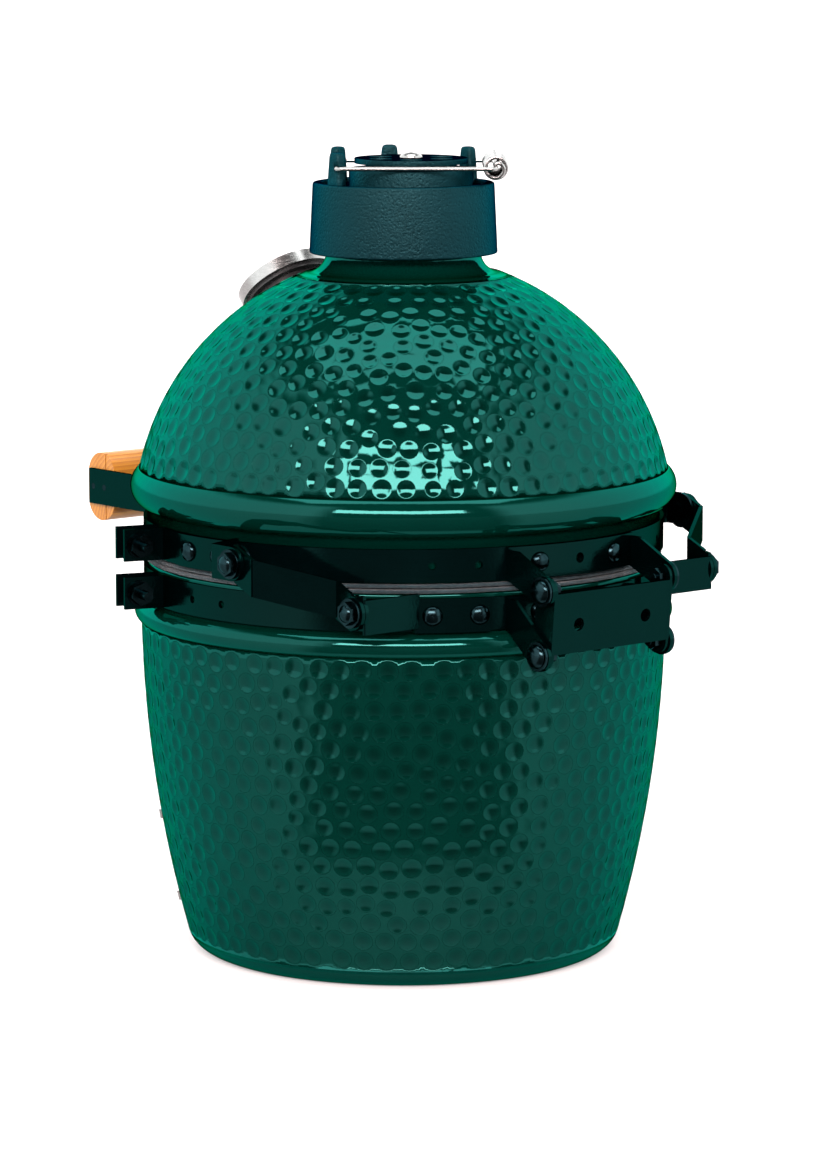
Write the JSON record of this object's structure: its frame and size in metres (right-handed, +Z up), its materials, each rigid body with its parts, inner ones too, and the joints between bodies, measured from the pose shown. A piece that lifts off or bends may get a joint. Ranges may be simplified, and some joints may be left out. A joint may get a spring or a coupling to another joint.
{
  "type": "ceramic charcoal grill",
  "caption": "Small egg-shaped ceramic charcoal grill with a rear-hinged dome, cast-iron vent cap, wooden front handle and sliding draft door.",
  "frame": {"origin": "on the ground at the middle of the round foot, on the axis of the ceramic shells", "axes": "+Z up along the shell axis; the user stands at -Y, where the handle and the draft door are; the hinge is at +Y; +X is to the right of the user"},
  "size_m": [0.33, 0.3705, 0.428],
  "materials": {
    "green_glaze": "gloss",
    "fire_clay": "matte",
    "cast_iron": "matte",
    "grid_steel": "satin",
    "felt": "matte",
    "black_paint": "gloss",
    "dark_fastener": "gloss",
    "stainless": "satin",
    "handle_wood": "satin",
    "case_metal": "satin",
    "dial_white": "satin",
    "dial_glass": "gloss",
    "needle_red": "satin"
  },
  "bodies": {
    "base": {"base_shell": "green_glaze", "firebox": "fire_clay", "fire_ring": "fire_clay", "base_gasket": "felt", "lower_band": "black_paint", "lower_clamp_bolt": "dark_fastener", "lower_band_bolts": "dark_fastener", "lower_hinge_bracket": "black_paint", "lower_hinge_pins": "dark_fastener", "wing_bracket_right": "black_paint", "wing_bracket_left": "black_paint", "wing_pin_right": "dark_fastener", "wing_pin_left": "dark_fastener", "draft_frame": "stainless", "draft_screws": "stainless"},
    "draft_door": {"draft_door": "stainless", "draft_knob": "stainless"},
    "fire_grate": {"fire_grate": "cast_iron"},
    "cooking_grid": {"grid_ring": "grid_steel", "grid_bars": "grid_steel", "grid_brace": "grid_steel"},
    "hinge_channel": {"hinge_channel": "black_paint"},
    "dome": {"dome_shell": "green_glaze", "dome_crown": "green_glaze", "dome_gasket": "felt", "upper_band": "black_paint", "upper_clamp_bolt": "dark_fastener", "upper_band_bolts": "dark_fastener", "upper_hinge_bracket": "black_paint", "upper_hinge_pins": "dark_fastener", "side_bracket_right": "black_paint", "side_bracket_left": "black_paint", "side_pin_right": "dark_fastener", "side_pin_left": "dark_fastener", "handle_bracket_right": "black_paint", "handle_bracket_left": "black_paint", "handle_bar": "handle_wood", "handle_screws": "dark_fastener", "thermometer_case": "case_metal", "thermometer_stem": "stainless", "thermometer_dial": "dial_white", "thermometer_bezel": "stainless", "thermometer_glass": "dial_glass", "thermometer_clip": "stainless"},
    "thermometer_needle": {"thermometer_needle": "needle_red"},
    "side_arm_right": {"side_arm_right": "black_paint"},
    "side_arm_left": {"side_arm_left": "black_paint"},
    "cap": {"cap_hood": "cast_iron", "vent_lid": "cast_iron", "lid_rivet": "stainless"},
    "damper": {"damper_wheel": "cast_iron", "damper_screw": "stainless"},
    "bail": {"bail_wire": "stainless", "bail_grip": "stainless"}
  },
  "joints": [
    {"name": "dome_fold", "type": "hinge", "parent": "base", "child": "hinge_channel", "pos_m": [0, 0.1575, 0.181], "axis": [-1, 0, 0], "range_deg": [0, 61.7]},
    {"name": "dome_tilt", "type": "hinge", "parent": "hinge_channel", "child": "dome", "pos_m": [0, 0.1605, 0.2145], "axis": [-1, 0, 0], "range_deg": [-27.9, 0]},
    {"name": "arm_right_swing", "type": "hinge", "parent": "base", "child": "side_arm_right", "pos_m": [0.1219, 0.1055, 0.205], "axis": [-1, 0, 0], "range_deg": [0, 69.7]},
    {"name": "arm_left_swing", "type": "hinge", "parent": "base", "child": "side_arm_left", "pos_m": [-0.1219, 0.1055, 0.205], "axis": [-1, 0, 0], "range_deg": [0, 69.7]},
    {"name": "cap_swivel", "type": "hinge", "parent": "dome", "child": "cap", "pos_m": [0, 0, 0.3918], "axis": [0, 0, 1], "continuous": true},
    {"name": "damper_turn", "type": "hinge", "parent": "cap", "child": "damper", "pos_m": [-0.00306, 0.00257, 0.4185], "axis": [0, 0, 1], "range_deg": [0, 60]},
    {"name": "bail_lift", "type": "hinge", "parent": "cap", "child": "bail", "pos_m": [0.02681, -0.0225, 0.4199], "axis": [0.6428, 0.766, 0], "range_deg": [0, 100]},
    {"name": "draft_slide", "type": "hinge", "parent": "base", "child": "draft_door", "pos_m": [0, 0, 0.043], "axis": [0, 0, 1], "range_deg": [-24, 24]},
    {"name": "needle_turn", "type": "hinge", "parent": "dome", "child": "thermometer_needle", "pos_m": [0, -0.09773, 0.34929], "axis": [0, 0.6293, -0.7771], "range_deg": [0, 270]},
    {"name": "grid_lift", "type": "slide", "parent": "base", "child": "cooking_grid", "axis": [0, 0, 1], "range_m": [0, 0.019]},
    {"name": "grate_lift", "type": "slide", "parent": "base", "child": "fire_grate", "axis": [0, 0, 1], "range_m": [0, 0.04]}
  ],
  "couplings": [
    {"joint": "dome_tilt", "follows": "dome_fold", "ratio": -0.44895},
    {"joint": "arm_right_swing", "follows": "dome_fold", "ratio": 1.1264},
    {"joint": "arm_left_swing", "follows": "dome_fold", "ratio": 1.1264}
  ]
}
